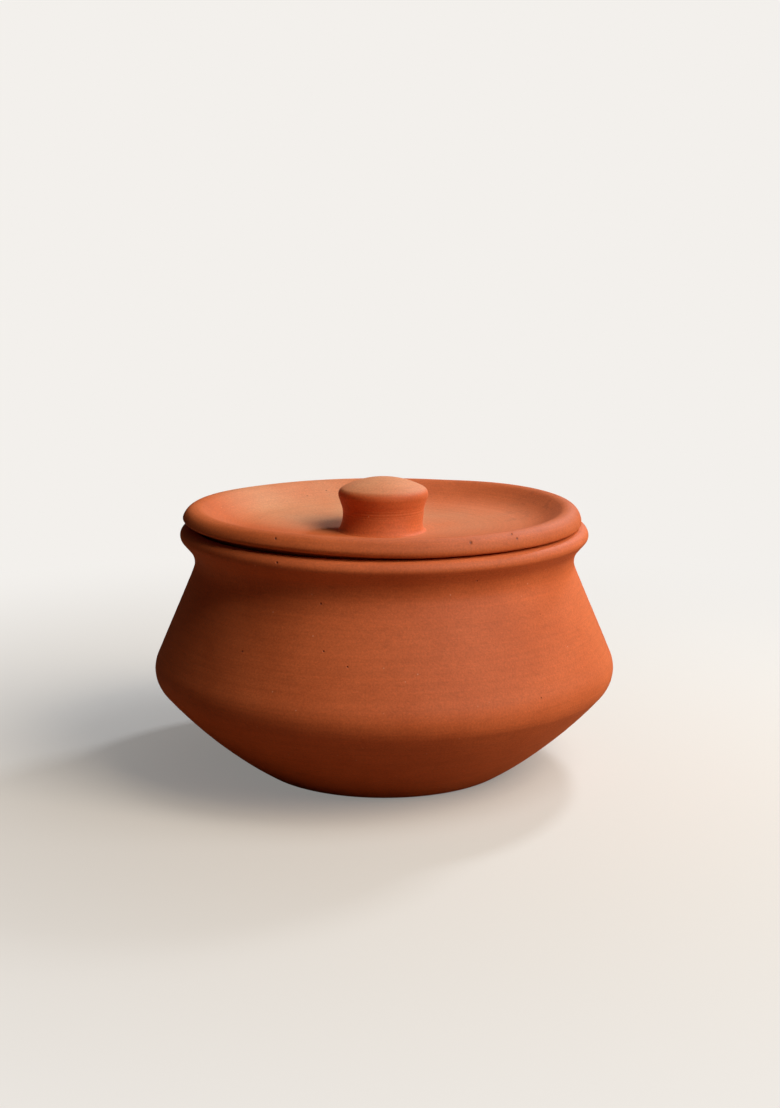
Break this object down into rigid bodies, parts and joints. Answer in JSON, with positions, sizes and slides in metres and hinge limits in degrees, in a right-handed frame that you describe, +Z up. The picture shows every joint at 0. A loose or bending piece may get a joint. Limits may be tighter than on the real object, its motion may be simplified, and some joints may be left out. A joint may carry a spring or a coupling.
{
  "type": "clay curd pot",
  "caption": "Wheel-thrown unglazed clay pot with a keeled belly and rolled lip, and a dished lid with a mushroom knob that rests on the lip and lifts off.",
  "frame": {"origin": "middle of the flat standing face, on the surface that the pot stands on", "axes": "+Z up along the axis that the pot and its lid were turned round; X and Y lie in the standing face, and any turn about +Z looks the same"},
  "size_m": [0.17, 0.17, 0.1072],
  "materials": {
    "pot_clay": "matte",
    "lid_clay": "matte",
    "knob_clay": "matte"
  },
  "bodies": {
    "pot": {"pot": "pot_clay"},
    "lid": {"lid": "lid_clay", "lid_knob": "knob_clay"}
  },
  "joints": [
    {"name": "lid_lift", "type": "slide", "parent": "pot", "child": "lid", "axis": [0, 0, 1], "range_m": [0, 0.12]}
  ]
}
